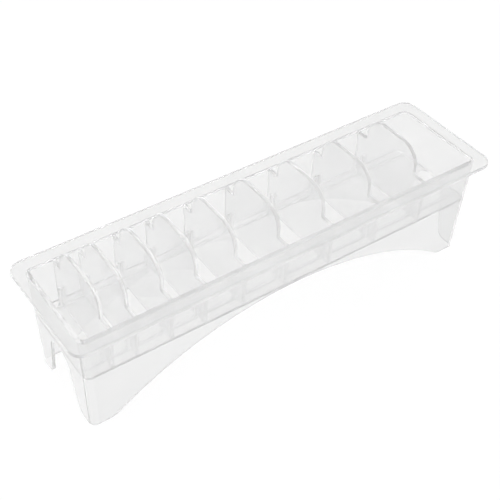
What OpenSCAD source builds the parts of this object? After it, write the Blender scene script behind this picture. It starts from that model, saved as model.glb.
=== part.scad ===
/* [Rim] */
// Length of the rim flange
rack_l = 290; // [280:1:310]
// Width of the rim flange
rack_w = 80; // [76:1:90]
// Thickness of the rim flange
rim_t = 2.6; // [2:0.1:3.5]
// Plan radius of the rim's outer corners
rim_r = 8; // [3:0.5:9]

/* [Body] */
// Height from the feet to the top of the rim
rack_h = 72; // [66:1:80]
// Length over the end walls, just under the rim
body_l = 276; // [265:0.5:278]
// Width over the long walls, just under the rim
body_w = 65.5; // [62:0.5:68]
// Thickness of the walls
wall_t = 2; // [1.5:0.1:2.5]
// Plan radius of the body's upright corners
corner_r = 4.5; // [3:0.5:6]
// How far each wall leans in from the rim down to the feet
lean = 2.2; // [0.5:0.1:3]

/* [Floor] */
// Depth of the floor's top face below the rim
floor_drop = 30.5; // [28:0.5:34]
// Thickness of the floor
floor_t = 1.8; // [1.2:0.1:2.5]

/* [Feet] */
// Length of each foot along the long wall, before its corners are rounded
foot_l = 17; // [14:0.5:22]
// Radius of each foot's corner towards the arch
foot_inner_r = 10; // [4:0.5:14]

/* [End notches] */
// Width of the notch across its round crown
notch_top_w = 22; // [16:0.5:24]
// Width of the notch at the feet, before their corners are rounded
notch_low_w = 33.5; // [28:0.5:38]
// Depth of the notch's crown below the rim
notch_drop = 32.5; // [32.5:0.5:38]
// Radius of each foot's corner towards the notch
notch_foot_r = 6; // [3:0.5:8]

/* [Dividers] */
// Thickness of each divider
div_t = 2.4; // [2:0.1:3]
// Clear length of bays one to nine from the narrow end; the tenth takes the rest
bays = [14.7, 13, 19.5, 19, 23.5, 27, 29.5, 32, 33.5];
// Depth of the dividers' ears below the rim's top
ear_drop = 0.6; // [0.2:0.1:2]
// Width of the rounded hump on each divider
hump_w = 44; // [38:1:46]
// Height of the hump above the rim
hump_h = 17.5; // [14:0.5:20]
// Radius of the hump's shoulders
hump_r = 13; // [8:0.5:14]

/* [Inner rails] */
// Clear width between the two inner rails
rail_gap = 46; // [42:0.5:48]
// Height of the rails' upright ribs above the floor
rail_h = 14.5; // [10:0.5:18]
// Thickness of the inner rails
rail_t = 1.8; // [1.2:0.1:2.2]
// Width of the upright rib against each side of a divider
rib_w = 2; // [1.2:0.1:2.5]
// Height of the low bead between the ribs, across each bay's floor
bead_h = 1.2; // [0.8:0.1:3]
// Radius between a rib and the bead
rib_r = 2.5; // [1:0.5:3.5]

/* [Hidden] */
$fn = 96;
corner_fn = 32;
foot_steps = 12;
crown_steps = 40;
rib_steps = 6;
cut = 1;
clear_plastic = [0.86, 0.89, 0.9, 0.4];

inner_l = body_l - 2 * wall_t;
inner_w = body_w - 2 * wall_t;
inner_r = corner_r - wall_t;
wall_h = rack_h - rim_t;
floor_z = rack_h - floor_drop;
ear_z = rack_h - ear_drop;
hump_z = rack_h + hump_h;

// The arch's crown is flush with the floor's underside.
arch_h = floor_z - floor_t;
arch_half = body_l / 2 - foot_l;
arch_r = (arch_half * arch_half + arch_h * arch_h) / (2 * arch_h);
arch_foot_x = sqrt(pow(arch_r + foot_inner_r, 2) - pow(foot_inner_r - arch_h + arch_r, 2));
arch_turn = atan2(foot_inner_r - arch_h + arch_r, arch_foot_x);

// The notch's sides slope from its crown's centre height down to the feet.
notch_r = notch_top_w / 2;
notch_z = rack_h - notch_drop - notch_r;
notch_slope = atan((notch_low_w / 2 - notch_r) / notch_z);
notch_foot_x = notch_low_w / 2 + notch_foot_r * (1 / cos(notch_slope) - tan(notch_slope));

// How far a wall has leaned in at height z.
function inset(z) = lean * (wall_h - z) / wall_h;
// Total clear length of the bays before divider i.
function before(i) = i == 0 ? 0 : before(i - 1) + bays[i - 1];
// Middle of divider i along the rack.
function div_x(i) = before(i) - inner_l / 2 + (i - 0.5) * div_t;

module rounded_rect(l, w, r, fn) {
    square([l - 2 * r, w], center = true);
    square([l, w - 2 * r], center = true);
    for (sx = [-1, 1], sy = [-1, 1])
        translate([sx * (l / 2 - r), sy * (w / 2 - r)]) circle(r, $fn = fn);
}

// Leaning block from the underside of the rim down to the feet.
module leaning_block(l, w, r) {
    translate([0, 0, wall_h])
    mirror([0, 0, 1])
    linear_extrude(wall_h, scale = [1 - 2 * lean / l, 1 - 2 * lean / w], slices = 1, $fn = corner_fn)
    rounded_rect(l, w, r, corner_fn);
}

// Points on an arc from angle a to angle b.
function arc(centre, r, a, b, steps) =
    [for (k = [0:steps]) let (t = a + (b - a) * k / steps) centre + r * [cos(t), sin(t)]];
// The points mirrored to the other side, in the opposite order.
function mirrored(points) =
    [for (k = [len(points) - 1:-1:0]) [-points[k].x, points[k].y]];

// The opening under each long side: right foot, crown and left foot in one outline.
module side_cut() {
    foot = arc([arch_foot_x, foot_inner_r], foot_inner_r, -90, arch_turn - 180, foot_steps);
    crown = arc([0, arch_h - arch_r], arch_r, arch_turn, 90, crown_steps);
    half = concat([[arch_foot_x, -cut]], foot, [for (k = [1:crown_steps - 1]) crown[k]]);
    polygon(concat(half, [[0, arch_h]], mirrored(half)));
}

// The opening in each end wall: right foot, crown and left foot in one outline.
module end_cut() {
    foot = arc([notch_foot_x, notch_foot_r], notch_foot_r, -90, notch_slope - 180, foot_steps);
    crown = arc([0, notch_z], notch_r, 0, 90, foot_steps);
    half = concat([[notch_foot_x, -cut]], foot, [for (k = [0:foot_steps - 1]) crown[k]]);
    polygon(concat(half, [[0, notch_z + notch_r]], mirrored(half)));
}

// All four walls in one ring, with the arch and both notches cut through.
module skirt() {
    difference() {
        leaning_block(body_l, body_w, corner_r);
        leaning_block(inner_l, inner_w, inner_r);
        translate([0, body_w, 0]) rotate([90, 0, 0]) linear_extrude(2 * body_w) side_cut();
        translate([-body_l, 0, 0]) rotate([90, 0, 90]) linear_extrude(2 * body_l) end_cut();
    }
}

module rim_flange() {
    color(clear_plastic)
    translate([0, 0, wall_h])
    linear_extrude(rim_t)
    difference() {
        rounded_rect(rack_l, rack_w, rim_r, $fn);
        rounded_rect(inner_l, inner_w, inner_r, corner_fn);
    }
}

// Long wall on side sy, between the two end walls' corners.
module long_wall(sy) {
    wall_l = body_l - 2 * (lean + corner_r);
    color(clear_plastic)
    intersection() {
        skirt();
        translate([-wall_l / 2, sy > 0 ? 0 : -body_w, -cut]) cube([wall_l, body_w, rack_h]);
    }
}

// End wall on side sx, with its two rounded corners.
module end_wall(sx) {
    half_l = body_l / 2 - lean - corner_r;
    color(clear_plastic)
    intersection() {
        skirt();
        translate([sx > 0 ? half_l : -half_l - body_l, -body_w, -cut])
            cube([body_l, 2 * body_w, rack_h]);
    }
}

module floor_panel() {
    color(clear_plastic)
    intersection() {
        leaning_block(inner_l, inner_w, inner_r);
        translate([-body_l / 2, -body_w / 2, floor_z - floor_t]) cube([body_l, body_w, floor_t]);
    }
}

module rail_block(sy) {
    translate([-body_l / 2, sy > 0 ? rail_gap / 2 : -rail_gap / 2 - rail_t, floor_z])
        cube([body_l, rail_t, rail_h]);
}

// Cut that leaves a rib at each side of bay i and a bead between them. The two end bays have no
// rib at the end wall.
module bay_cut(i) {
    left = i == 1 ? -body_l / 2 - rib_r : div_x(i - 1) + div_t / 2 + rib_w;
    right = i == 10 ? body_l / 2 + rib_r : div_x(i) - div_t / 2 - rib_w;
    low = floor_z + bead_h;
    translate([0, body_w, 0])
    rotate([90, 0, 0])
    linear_extrude(2 * body_w)
    polygon(concat([[left, low + rail_h], [right, low + rail_h]],
                   arc([right - rib_r, low + rib_r], rib_r, 0, -90, rib_steps),
                   arc([left + rib_r, low + rib_r], rib_r, -90, -180, rib_steps)));
}

// Low bead on side sy, from one end wall to the other, with a rib up each face of each divider.
module rail(sy) {
    color(clear_plastic)
    difference() {
        intersection() {
            leaning_block(inner_l, inner_w, inner_r);
            rail_block(sy);
        }
        for (i = [1:10]) bay_cut(i);
    }
}

module hump_outline() {
    shoulder_z = hump_z - hump_r;
    flat_w = hump_w - 2 * hump_r;
    translate([-hump_w / 2, ear_z - cut]) square([hump_w, shoulder_z - ear_z + cut]);
    translate([-flat_w / 2, shoulder_z]) square([flat_w, hump_r]);
    for (sy = [-1, 1]) translate([sy * flat_w / 2, shoulder_z]) circle(hump_r);
}

// Cross plate i, slotted over both rails, with leaning sides and a hump above the rim.
module divider(i) {
    low_half = inner_w / 2 - inset(floor_z);
    color(clear_plastic)
    difference() {
        translate([div_x(i) - div_t / 2, 0, 0])
        rotate([90, 0, 90])
        linear_extrude(div_t) {
            polygon([[-low_half, floor_z], [low_half, floor_z], [inner_w / 2, wall_h],
                     [inner_w / 2, ear_z], [-inner_w / 2, ear_z], [-inner_w / 2, wall_h]]);
            hump_outline();
        }
        for (sy = [-1, 1]) rail_block(sy);
    }
}

rim_flange();
long_wall(-1);  // front_wall
long_wall(1);  // rear_wall
end_wall(-1);  // left_end_wall
end_wall(1);  // right_end_wall
floor_panel();
rail(-1);  // front_rail
rail(1);  // rear_rail
for (i = [1:9])
    divider(i);
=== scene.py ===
import math

import bmesh
import bpy
from mathutils import Matrix, Vector


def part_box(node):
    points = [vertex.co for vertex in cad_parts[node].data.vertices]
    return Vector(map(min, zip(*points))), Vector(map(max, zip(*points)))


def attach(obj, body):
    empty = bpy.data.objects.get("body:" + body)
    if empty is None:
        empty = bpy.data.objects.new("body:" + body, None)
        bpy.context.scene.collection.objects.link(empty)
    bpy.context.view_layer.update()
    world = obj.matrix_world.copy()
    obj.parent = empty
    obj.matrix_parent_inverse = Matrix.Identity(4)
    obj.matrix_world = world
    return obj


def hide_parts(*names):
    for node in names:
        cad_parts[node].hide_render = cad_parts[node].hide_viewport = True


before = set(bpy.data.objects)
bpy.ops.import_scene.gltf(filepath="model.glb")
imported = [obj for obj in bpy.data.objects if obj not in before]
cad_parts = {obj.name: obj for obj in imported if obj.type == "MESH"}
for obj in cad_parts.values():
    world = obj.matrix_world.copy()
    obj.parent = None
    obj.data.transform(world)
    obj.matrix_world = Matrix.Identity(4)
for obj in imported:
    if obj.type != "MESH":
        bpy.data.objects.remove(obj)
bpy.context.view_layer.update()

# ---------------------------------------------------------------- sizes, in metres

MM = 0.001
BODY = "root"

rim_lo, rim_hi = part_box("rim_flange")
left_lo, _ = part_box("left_end_wall")
front_lo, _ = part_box("front_wall")
floor_lo, floor_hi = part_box("floor_panel")

RIM_TOP = rim_hi[2]
WALL_TOP = rim_lo[2]
RIM_SIZE = (rim_hi[0] - rim_lo[0], rim_hi[1] - rim_lo[1])
BODY_SIZE = (-2 * left_lo[0], -2 * front_lo[1])
FLOOR_TOP = floor_hi[2]
FLOOR_UNDER = floor_lo[2]

RIM_R = 8 * MM
WALL_T = 2 * MM
CORNER_R = 4.5 * MM
LEAN = 2.2 * MM
FOOT_L = 17 * MM
FOOT_ROUND = 10 * MM
NOTCH_R = 11 * MM
NOTCH_DROP = 32.5 * MM
NOTCH_LOW = 33.5 * MM
NOTCH_FOOT_ROUND = 6 * MM
HUMP_W = 44 * MM
HUMP_R = 13 * MM
EAR_DROP = 0.6 * MM
EDGE_R = 0.3 * MM
THIN_EDGE_R = 0.25 * MM
RIB_W = 2 * MM
RIB_R = 2.5 * MM
BEAD_H = 1.2 * MM
RIB_EDGE_R = 0.3 * MM
GAP = 0.02 * MM          # air between the separate pieces, so that no two faces coincide
OVER = 5 * MM            # how far a cutting shape reaches past what it cuts
WELD = 0.002 * MM        # points closer than this are one point
LEVEL = 0.01 * MM        # heights closer than this are the same height
SHARP = math.radians(35)
FACET_AREA = 100 * MM * MM
FACET_TURN = (math.radians(0.3), math.radians(13))
WALL_SLOPE = (-0.08, -0.01)     # range of the normal's Z on a wall's leaning outer face

INNER_SIZE = (BODY_SIZE[0] - 2 * WALL_T, BODY_SIZE[1] - 2 * WALL_T)
INNER_R = CORNER_R - WALL_T


def inset(z):
    """How far a wall has leaned in at height z."""
    return LEAN * (WALL_TOP - z) / WALL_TOP


# ---------------------------------------------------------------- mesh helpers

def arc(centre, radius, start, end, steps):
    """Points on an arc, in degrees, both ends included."""
    turn = [math.radians(start + (end - start) * k / steps) for k in range(steps + 1)]
    return [(centre[0] + radius * math.cos(t), centre[1] + radius * math.sin(t)) for t in turn]


def rounded_rect(size, radius, z, steps=10):
    x, y = size[0] / 2 - radius, size[1] / 2 - radius
    corners = [((x, y), 0), ((-x, y), 90), ((-x, -y), 180), ((x, -y), 270)]
    return [(px, py, z) for c, a in corners for px, py in arc(c, radius, a, a + 90, steps)]


def loft(name, sections):
    """A closed solid through sections of the same number of points."""
    bm = bmesh.new()
    rings = [[bm.verts.new(p) for p in section] for section in sections]
    count = len(rings[0])
    for low, high in zip(rings, rings[1:]):
        for k in range(count):
            n = (k + 1) % count
            bm.faces.new((low[k], low[n], high[n], high[k]))
    bm.faces.new(list(reversed(rings[0])))
    bm.faces.new(rings[-1])
    bmesh.ops.recalc_face_normals(bm, faces=bm.faces)
    mesh = bpy.data.meshes.new(name)
    bm.to_mesh(mesh)
    bm.free()
    obj = bpy.data.objects.new(name, mesh)
    bpy.context.scene.collection.objects.link(obj)
    return obj


def along_x(name, outline, x0, x1):
    """A prism along X, from an outline in Y and Z."""
    return loft(name, [[(x, y, z) for y, z in outline] for x in (x0, x1)])


def along_y(name, outline, y0, y1):
    """A prism along Y, from an outline in X and Z."""
    return loft(name, [[(x, y, z) for x, z in outline] for y in (y0, y1)])


def tapered(z, size, radius):
    """A section of the leaning walls at height z."""
    return rounded_rect((size[0] - 2 * inset(z), size[1] - 2 * inset(z)), radius, z)


def combine(base, tools):
    """Joins or cuts base with the tools, one after another, and removes them."""
    for kind, tool in tools:
        mod = base.modifiers.new(kind, "BOOLEAN")
        mod.operation = kind
        mod.object = tool
        mod.solver = "EXACT"
    bpy.context.view_layer.update()
    shaped = base.evaluated_get(bpy.context.evaluated_depsgraph_get())
    mesh = bpy.data.meshes.new_from_object(shaped)
    base.modifiers.clear()
    base.data = mesh
    for _, tool in tools:
        bpy.data.objects.remove(tool, do_unlink=True)


def on_arc(face, rounds):
    """True for one narrow facet of a curved surface."""
    if face.calc_area() > FACET_AREA:
        return False
    for edge in face.edges:
        if len(edge.link_faces) == 2 and not any(f in rounds for f in edge.link_faces):
            if FACET_TURN[0] < edge.calc_face_angle(0) < FACET_TURN[1]:
                return True
    return False


def round_edges(obj, radius, wanted, segments=3):
    """Rounds the sharp edges that wanted picks."""
    bm = bmesh.new()
    bm.from_mesh(obj.data)
    bmesh.ops.remove_doubles(bm, verts=bm.verts, dist=WELD)
    bmesh.ops.dissolve_degenerate(bm, edges=bm.edges, dist=WELD)
    bm.normal_update()
    edges = [e for e in bm.edges
             if len(e.link_faces) == 2 and e.calc_face_angle(0) > SHARP and wanted(e)]
    rounds = set(bmesh.ops.bevel(bm, geom=edges, offset=radius, offset_type="OFFSET", segments=segments,
                                 profile=0.5, affect="EDGES", clamp_overlap=False)["faces"])
    bm.normal_update()
    for face in bm.faces:
        face.smooth = face in rounds or on_arc(face, rounds)
    bmesh.ops.remove_doubles(bm, verts=bm.verts, dist=WELD)
    for edge in bm.edges:
        edge.smooth = edge.calc_face_angle(math.pi) < SHARP
    bm.to_mesh(obj.data)
    bm.free()


# ---------------------------------------------------------------- the clear plastic

def clear_plastic(name, seed):
    """Clear moulded plastic: uneven faint tone, slight haze and a handled surface.

    The weak emission stands in for light scattered along the inside of the walls.
    """
    mat = bpy.data.materials.new(name)
    mat.use_nodes = True
    nodes, links = mat.node_tree.nodes, mat.node_tree.links
    shader = nodes["Principled BSDF"]
    shader.inputs["Transmission Weight"].default_value = 0.8
    shader.inputs["Emission Color"].default_value = (1, 1, 1, 1)
    shader.inputs["Emission Strength"].default_value = 0.03
    shader.inputs["IOR"].default_value = 1.49
    shader.inputs["Specular IOR Level"].default_value = 0.5

    coords = nodes.new("ShaderNodeTexCoord")
    spread = nodes.new("ShaderNodeMapping")
    spread.inputs["Location"].default_value = (seed, 0.3 * seed, 0)
    links.new(coords.outputs["Object"], spread.inputs["Vector"])

    def noise(scale, detail):
        tex = nodes.new("ShaderNodeTexNoise")
        tex.inputs["Scale"].default_value = scale
        tex.inputs["Detail"].default_value = detail
        links.new(spread.outputs["Vector"], tex.inputs["Vector"])
        return tex

    def ramp(tex, low, high):
        out = nodes.new("ShaderNodeMapRange")
        out.inputs["From Min"].default_value = 0.3
        out.inputs["From Max"].default_value = 0.7
        out.inputs["To Min"].default_value = low
        out.inputs["To Max"].default_value = high
        links.new(tex.outputs["Fac"], out.inputs["Value"])
        return out

    cloud = noise(26, 3)
    tint = nodes.new("ShaderNodeValToRGB")
    tint.color_ramp.elements[0].position = 0.3
    tint.color_ramp.elements[0].color = (0.765, 0.765, 0.765, 1)
    tint.color_ramp.elements[1].position = 0.7
    tint.color_ramp.elements[1].color = (0.795, 0.795, 0.795, 1)
    links.new(cloud.outputs["Fac"], tint.inputs["Fac"])
    links.new(tint.outputs["Color"], shader.inputs["Base Color"])

    handled = noise(90, 4)
    rough = ramp(handled, 0.0, 0.004)
    links.new(rough.outputs["Result"], shader.inputs["Roughness"])
    return mat


def finish_piece(obj, seed, *nodes):
    """Material, body and the CAD nodes that the piece stands for."""
    obj.data.materials.clear()
    obj.data.materials.append(clear_plastic(obj.name + "_plastic", seed))
    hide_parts(*nodes)
    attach(obj, BODY)
    obj.visible_shadow = False


# ---------------------------------------------------------------- the tray

def arch_outline():
    """The opening under each long side, from foot to foot."""
    half = BODY_SIZE[0] / 2 - FOOT_L
    rise = FLOOR_UNDER
    r = (half * half + rise * rise) / (2 * rise)
    foot_x = math.sqrt((r + FOOT_ROUND) ** 2 - (FOOT_ROUND - rise + r) ** 2)
    lean = math.degrees(math.atan2(FOOT_ROUND - rise + r, foot_x))
    right = arc((foot_x, FOOT_ROUND), FOOT_ROUND, -90, lean - 180, 8)
    left = [(-x, z) for x, z in reversed(right)]
    crown = arc((0, rise - r), r, lean, 180 - lean, 72)
    return [(foot_x, -OVER)] + right[:-1] + crown + left[1:] + [(-foot_x, -OVER)]


def notch_outline():
    """The opening in each end wall, with its round crown and flared feet."""
    top_z = RIM_TOP - NOTCH_DROP - NOTCH_R
    slope = math.atan2(NOTCH_LOW / 2 - NOTCH_R, top_z)
    foot_y = NOTCH_LOW / 2 + NOTCH_FOOT_ROUND * (1 / math.cos(slope) - math.tan(slope))
    right = arc((foot_y, NOTCH_FOOT_ROUND), NOTCH_FOOT_ROUND, -90, math.degrees(slope) - 180, 8)
    left = [(-y, z) for y, z in reversed(right)]
    crown = arc((0, top_z), NOTCH_R, 0, 180, 32)
    return [(foot_y, -OVER)] + right + crown + left + [(-foot_y, -OVER)]


def tray_shell():
    """The rim, the four walls and the floor as one skin."""
    rim = loft("rim", [rounded_rect(RIM_SIZE, RIM_R, z) for z in (WALL_TOP, RIM_TOP)])
    mid_rim = (WALL_TOP + RIM_TOP) / 2
    skirt = loft("tray_shell", [tapered(0, BODY_SIZE, CORNER_R), tapered(WALL_TOP, BODY_SIZE, CORNER_R),
                                rounded_rect(BODY_SIZE, CORNER_R, mid_rim)])
    above = loft("above", [tapered(FLOOR_TOP, INNER_SIZE, INNER_R), tapered(WALL_TOP, INNER_SIZE, INNER_R),
                           rounded_rect(INNER_SIZE, INNER_R, RIM_TOP + OVER)])
    below = loft("below", [tapered(z, INNER_SIZE, INNER_R) for z in (-OVER, FLOOR_UNDER)])
    arch = along_y("arch", arch_outline(), -BODY_SIZE[1], BODY_SIZE[1])
    notch = along_x("notch", notch_outline(), -BODY_SIZE[0], BODY_SIZE[0])
    combine(skirt, [("UNION", rim), ("DIFFERENCE", above), ("DIFFERENCE", below),
                    ("DIFFERENCE", arch), ("DIFFERENCE", notch)])

    def wanted(edge):
        """Picks the rim's edges, the floor's upper corner and the outer edges of the leaning walls."""
        low = min(v.co.z for v in edge.verts)
        high = max(v.co.z for v in edge.verts)
        if low > WALL_TOP - LEVEL:
            return True
        if abs(low - FLOOR_TOP) < LEVEL and abs(high - FLOOR_TOP) < LEVEL:
            return True
        leaning_out = [WALL_SLOPE[0] < f.normal.z < WALL_SLOPE[1] for f in edge.link_faces]
        return leaning_out[0] != leaning_out[1]

    round_edges(skirt, EDGE_R, wanted)
    finish_piece(skirt, 0, "rim_flange", "front_wall", "rear_wall", "left_end_wall", "right_end_wall",
                 "floor_panel")


# ---------------------------------------------------------------- the dividers

def divider(i):
    """One divider plate, counted from the narrow end, with its round-shouldered hump."""
    node = "divider_%d" % i
    lo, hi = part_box(node)
    shoulder = hi[2] - HUMP_R
    flat = HUMP_W / 2 - HUMP_R
    low_z = FLOOR_TOP + GAP
    ear_z = RIM_TOP - EAR_DROP
    wide = INNER_SIZE[1] / 2 - GAP
    right = [(wide - inset(low_z), low_z), (wide, WALL_TOP), (wide, ear_z), (HUMP_W / 2, ear_z)]
    right += arc((flat, shoulder), HUMP_R, 0, 90, 18)
    left = [(-y, z) for y, z in reversed(right)]
    piece = along_x("divider_plate_%d" % i, right + left, lo[0], hi[0])
    round_edges(piece, THIN_EDGE_R, lambda edge: True)
    finish_piece(piece, i, node)


# ---------------------------------------------------------------- the locating ribs

def bays():
    """Clear X range of each bay at the floor."""
    half = INNER_SIZE[0] / 2 - inset(FLOOR_TOP)
    edges = [-half]
    for i in range(1, 10):
        lo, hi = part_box("divider_%d" % i)
        edges += [lo[0], hi[0]]
    edges.append(half)
    return list(zip(edges[0::2], edges[1::2]))


def bay_rib(left, right, top, has_left, has_right):
    """Outline of one bay's low bead, with an upright rib at each divider."""
    low, bead = FLOOR_TOP + GAP, FLOOR_TOP + BEAD_H
    points = [(left + GAP, low), (right - GAP, low)]
    if has_right:
        points += [(right - GAP, top), (right - RIB_W, top)]
        points += arc((right - RIB_W - RIB_R, bead + RIB_R), RIB_R, 0, -90, 6)
    else:
        points.append((right - GAP, bead))
    if has_left:
        points += arc((left + RIB_W + RIB_R, bead + RIB_R), RIB_R, -90, -180, 6)
        points += [(left + RIB_W, top), (left + GAP, top)]
    else:
        points.append((left + GAP, bead))
    return points


def locating_ribs(node, name, seed):
    """All the beads and ribs along one side, as one piece."""
    lo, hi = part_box(node)
    rib_bays = bays()
    last = len(rib_bays) - 1
    parts = [along_y(name, bay_rib(left, right, hi[2], k > 0, k < last), lo[1], hi[1])
             for k, (left, right) in enumerate(rib_bays)]
    piece = parts[0]
    bm = bmesh.new()
    for part in parts:
        round_edges(part, RIB_EDGE_R, lambda edge: True, 2)
        bm.from_mesh(part.data)
    bm.to_mesh(piece.data)
    bm.free()
    for part in parts[1:]:
        bpy.data.objects.remove(part, do_unlink=True)
    finish_piece(piece, seed, node)


tray_shell()
for number in range(1, 10):
    divider(number)
locating_ribs("front_rail", "front_locating_ribs", 30)
locating_ribs("rear_rail", "rear_locating_ribs", 31)

# ---------------------------------------------------------------- floor, light and camera

def floor_material():
    """A pale floor that stays white under the clear plastic."""
    mat = bpy.data.materials.new("pale_floor")
    mat.use_nodes = True
    nodes, links = mat.node_tree.nodes, mat.node_tree.links
    shader = nodes["Principled BSDF"]
    tex = nodes.new("ShaderNodeTexNoise")
    tex.inputs["Scale"].default_value = 3
    tint = nodes.new("ShaderNodeValToRGB")
    tint.color_ramp.elements[0].color = (0.2, 0.2, 0.2, 1)
    tint.color_ramp.elements[1].color = (0.22, 0.22, 0.22, 1)
    links.new(tex.outputs["Fac"], tint.inputs["Fac"])
    links.new(tint.outputs["Color"], shader.inputs["Base Color"])
    shader.inputs["Emission Color"].default_value = (1, 1, 1, 1)
    shader.inputs["Emission Strength"].default_value = 0.79
    shader.inputs["Roughness"].default_value = 0.9
    shader.inputs["Specular IOR Level"].default_value = 0.1
    return mat


bpy.ops.mesh.primitive_plane_add(size=12, location=(0, 0, -0.1 * MM))
ground = bpy.context.object
ground.name = "ground"
ground.data.materials.append(floor_material())

world = bpy.data.worlds.new("studio")
bpy.context.scene.world = world
world.use_nodes = True
sky, sky_links = world.node_tree.nodes, world.node_tree.links
aim = sky.new("ShaderNodeTexCoord")
split = sky.new("ShaderNodeSeparateXYZ")
dome = sky.new("ShaderNodeValToRGB")
dome.color_ramp.elements[0].position = 0.15
dome.color_ramp.elements[0].color = (1, 1, 1, 1)
dome.color_ramp.elements[1].position = 0.75
dome.color_ramp.elements[1].color = (0.9, 0.9, 0.9, 1)
sky_links.new(aim.outputs["Generated"], split.inputs["Vector"])
sky_links.new(split.outputs["Z"], dome.inputs["Fac"])
sky_links.new(dome.outputs["Color"], sky["Background"].inputs["Color"])
sky["Background"].inputs["Strength"].default_value = 1.0

lamp = bpy.data.lights.new("softbox", "AREA")
lamp.energy = 6
lamp.size = 1.2
lamp_obj = bpy.data.objects.new("softbox", lamp)
bpy.context.scene.collection.objects.link(lamp_obj)
lamp_obj.location = (-0.6, -0.5, 1.4)
lamp_obj.rotation_euler = (-lamp_obj.location).to_track_quat("-Z", "Y").to_euler()

UNIT = 2.9 * MM                      # the camera's distances are in hundredths of the rack's length
AZIMUTH, ELEVATION, ROLL = (math.radians(d) for d in (-34.297, 42.052, 0.695))
DISTANCE, SIDE, LIFT = 202.639 * UNIT, -9.438 * UNIT, -4.248 * UNIT
LENS, SENSOR = 73.03, 36
SHIFT = (0.0653, -0.0359)

back = Vector((math.sin(AZIMUTH) * math.cos(ELEVATION), -math.cos(AZIMUTH) * math.cos(ELEVATION),
               math.sin(ELEVATION)))
right = (-back).cross(Vector((0, 0, 1))).normalized()
up = right.cross(-back)
right, up = (right * math.cos(ROLL) + up * math.sin(ROLL), up * math.cos(ROLL) - right * math.sin(ROLL))
camera = bpy.data.objects.new("camera", bpy.data.cameras.new("camera"))
bpy.context.scene.collection.objects.link(camera)
pose = Matrix((right, up, back)).transposed().to_4x4()
pose.translation = back * DISTANCE + right * SIDE + up * LIFT + Vector((0, 0, RIM_TOP))
camera.matrix_world = pose
camera.data.sensor_width = SENSOR
camera.data.lens = LENS
camera.data.shift_x, camera.data.shift_y = SHIFT
bpy.context.scene.camera = camera

bpy.context.scene.view_settings.view_transform = "Standard"
CLEAR_BOUNCES = 400                  # light runs a long way inside the clear walls
cycles = bpy.context.scene.cycles
cycles.max_bounces = CLEAR_BOUNCES
cycles.transmission_bounces = CLEAR_BOUNCES
cycles.glossy_bounces = CLEAR_BOUNCES
cycles.diffuse_bounces = 60
